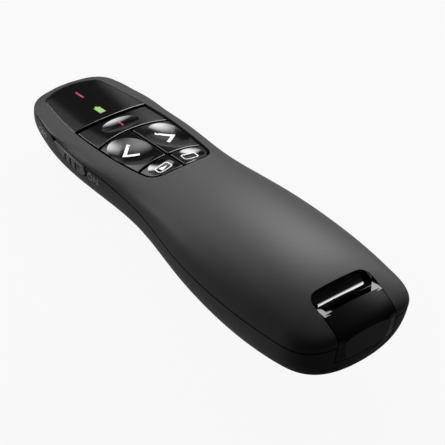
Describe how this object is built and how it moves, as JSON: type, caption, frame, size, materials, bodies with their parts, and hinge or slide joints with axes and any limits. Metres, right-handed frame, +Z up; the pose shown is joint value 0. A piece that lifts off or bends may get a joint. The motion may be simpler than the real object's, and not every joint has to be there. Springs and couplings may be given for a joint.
{
  "type": "wireless presentation clicker",
  "caption": "Waisted hand-held presentation remote with a glossy key panel, laser pointer, side power slider, sliding battery door and a USB receiver stored in its tail.",
  "frame": {"origin": "on the resting surface, under the middle of the body's bounding box", "axes": "+Y along the body to the laser nose, +X to the right seen from above, +Z up out of the keys' side"},
  "size_m": [0.0378, 0.1156, 0.0254],
  "materials": {
    "soft_touch_black": "soft-touch charcoal coating",
    "grey_plastic": "moulded mid-grey plastic",
    "gloss_black": "polished black plastic",
    "smoked_window": "smoked display window, polished",
    "light_guide_clear": "clear moulded light guide",
    "lens_clear": "clear optical plastic",
    "board_green": "solder-masked circuit board",
    "black_resin": "moulded electronic part",
    "white_resin": "white moulded plastic",
    "nickel": "nickel-plated spring steel",
    "steel": "bright steel sheet",
    "brass_plain": "turned brass",
    "gold_contact": "gold-plated contact",
    "red_led": "red lamp",
    "green_led": "green lamp",
    "cell_wrap": "printed cell sleeve, plain"
  },
  "bodies": {
    "housing": {"top_cover": "soft_touch_black", "bottom_cover": "soft_touch_black", "display_window": "smoked_window", "light_guide": "light_guide_clear", "dock_liner": "gloss_black", "key_frame": "black_resin", "main_board": "board_green", "laser_barrel": "brass_plain", "laser_lens": "lens_clear", "laser_diode": "brass_plain", "laser_window": "lens_clear", "laser_holder": "black_resin", "battery_led": "green_led", "laser_led": "red_led", "slide_switch_body": "nickel", "radio_chip": "black_resin", "crystal": "steel", "storage_capacitor": "brass_plain", "battery_left": "cell_wrap", "battery_right": "cell_wrap", "positive_contact": "nickel", "negative_contact": "nickel", "bridge_contact": "nickel", "contact_spring_left": "nickel", "contact_spring_right": "nickel", "case_screw_left": "steel", "case_screw_right": "steel", "receiver_tray": "black_resin", "laser_switch": "nickel", "back_switch": "nickel", "forward_switch": "nickel", "play_switch": "nickel", "blank_switch": "nickel"},
    "laser_button": {"laser_key": "gloss_black", "laser_plunger": "black_resin"},
    "back_button": {"back_key": "gloss_black", "back_plunger": "black_resin"},
    "forward_button": {"forward_key": "gloss_black", "forward_plunger": "black_resin"},
    "play_button": {"play_key": "gloss_black", "play_plunger": "black_resin"},
    "blank_button": {"blank_key": "gloss_black", "blank_plunger": "black_resin"},
    "power_switch": {"power_slider": "grey_plastic", "slide_switch_lever": "black_resin"},
    "door": {"battery_door": "soft_touch_black"},
    "receiver": {"receiver_cap": "gloss_black", "receiver_body": "black_resin", "usb_shell": "steel", "usb_tongue": "white_resin", "usb_contact_1": "gold_contact", "usb_contact_2": "gold_contact", "usb_contact_3": "gold_contact", "usb_contact_4": "gold_contact"}
  },
  "joints": [
    {"name": "laser_press", "type": "slide", "parent": "housing", "child": "laser_button", "axis": [0, 0.1599, 0.9871], "range_m": [-0.0004, 0], "stiffness_N_per_m": 100, "springref_m": 0.0004},
    {"name": "back_press", "type": "slide", "parent": "housing", "child": "back_button", "axis": [0, 0.1599, 0.9871], "range_m": [-0.0004, 0], "stiffness_N_per_m": 100, "springref_m": 0.0004},
    {"name": "forward_press", "type": "slide", "parent": "housing", "child": "forward_button", "axis": [0, 0.1599, 0.9871], "range_m": [-0.0004, 0], "stiffness_N_per_m": 100, "springref_m": 0.0004},
    {"name": "play_press", "type": "slide", "parent": "housing", "child": "play_button", "axis": [0, 0.1599, 0.9871], "range_m": [-0.0004, 0], "stiffness_N_per_m": 50, "springref_m": 0.0004},
    {"name": "blank_press", "type": "slide", "parent": "housing", "child": "blank_button", "axis": [0, 0.1599, 0.9871], "range_m": [-0.0004, 0], "stiffness_N_per_m": 50, "springref_m": 0.0004},
    {"name": "power_slide", "type": "slide", "parent": "housing", "child": "power_switch", "axis": [0.061, 0.9967, -0.0541], "range_m": [0, 0.0015]},
    {"name": "door_slide", "type": "slide", "parent": "housing", "child": "door", "axis": [0, -0.9986, -0.0523], "range_m": [0, 0.062]},
    {"name": "receiver_slide", "type": "slide", "parent": "housing", "child": "receiver", "axis": [0, -1, 0], "range_m": [0, 0.05]}
  ]
}
